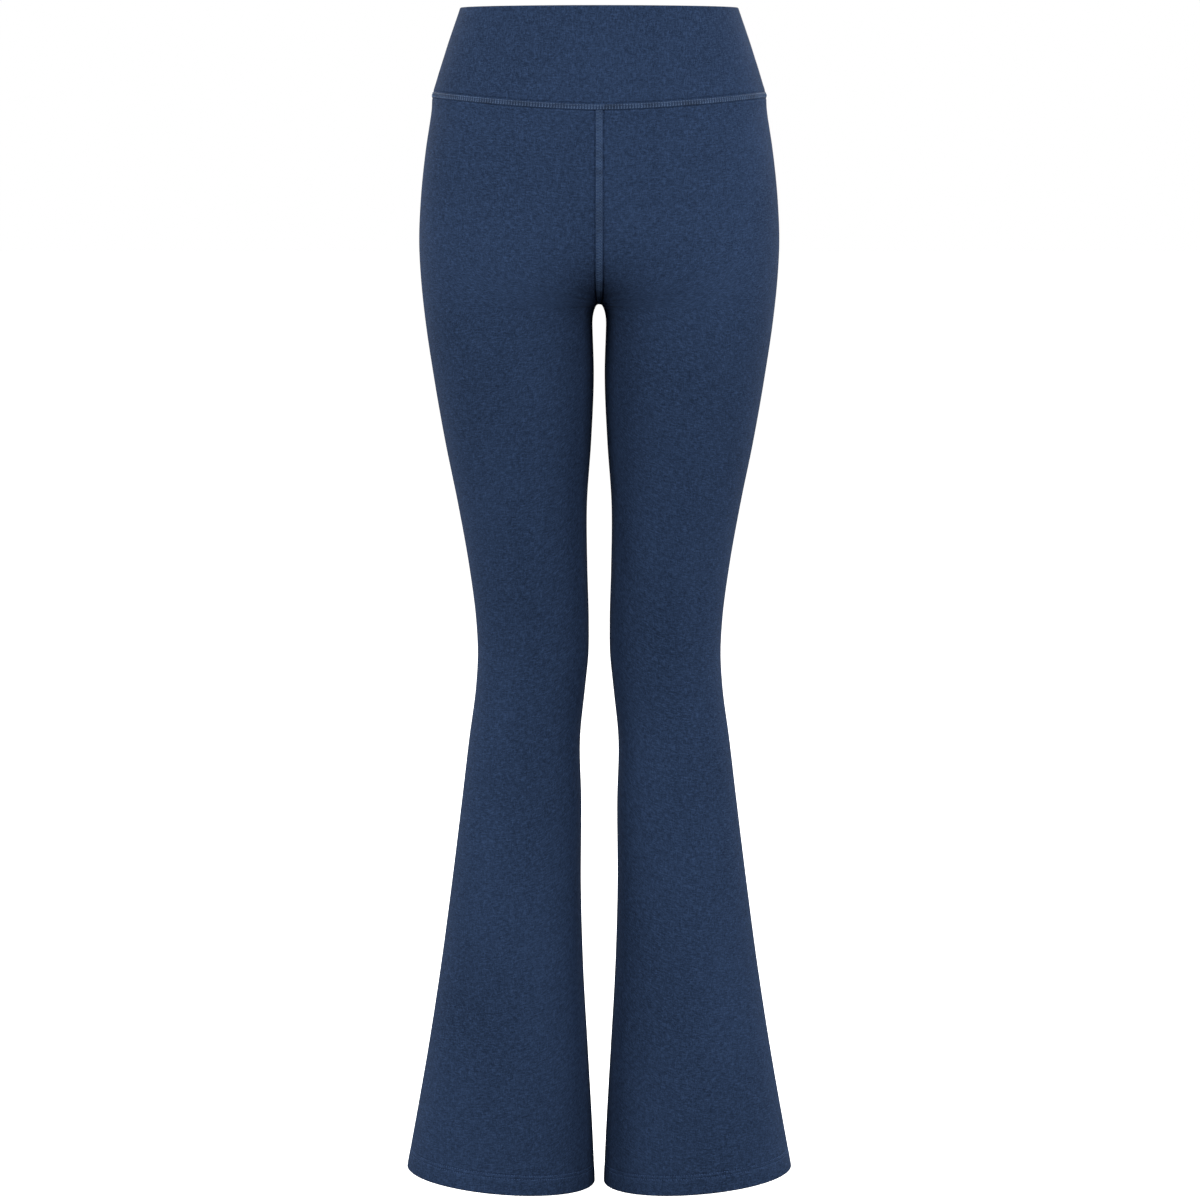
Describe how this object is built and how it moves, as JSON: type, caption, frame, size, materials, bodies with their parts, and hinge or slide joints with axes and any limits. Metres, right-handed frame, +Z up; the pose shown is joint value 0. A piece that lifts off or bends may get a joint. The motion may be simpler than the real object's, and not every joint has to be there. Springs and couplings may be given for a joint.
{
  "type": "flared leggings",
  "caption": "High-waisted sports leggings with a wide folded waistband, close to the knee and flared from there to the hem.",
  "frame": {"origin": "middle of the waist opening, level with the waistband's top edge", "axes": "+Z up out of the waist opening, -Y the garment's front, +X the wearer's left; both legs hang towards -Z"},
  "size_m": [0.3648, 0.2367, 1.1055],
  "materials": {
    "waistband_front": "brushed stretch knit, navy",
    "waistband_back": "brushed stretch knit, navy",
    "leg_front_left": "brushed stretch knit, navy",
    "leg_front_right": "brushed stretch knit, navy",
    "leg_back_left": "brushed stretch knit, navy",
    "leg_back_right": "brushed stretch knit, navy",
    "waist_seam": "cover stitching, slightly lighter thread",
    "centre_seam_front": "cover stitching, slightly lighter thread",
    "centre_seam_back": "cover stitching, slightly lighter thread"
  },
  "bodies": {
    "root": {"waistband_front": "waistband_front", "waistband_back": "waistband_back", "leg_front_left": "leg_front_left", "leg_front_right": "leg_front_right", "leg_back_left": "leg_back_left", "leg_back_right": "leg_back_right", "waist_seam": "waist_seam", "centre_seam_front": "centre_seam_front", "centre_seam_back": "centre_seam_back"}
  },
  "joints": []
}
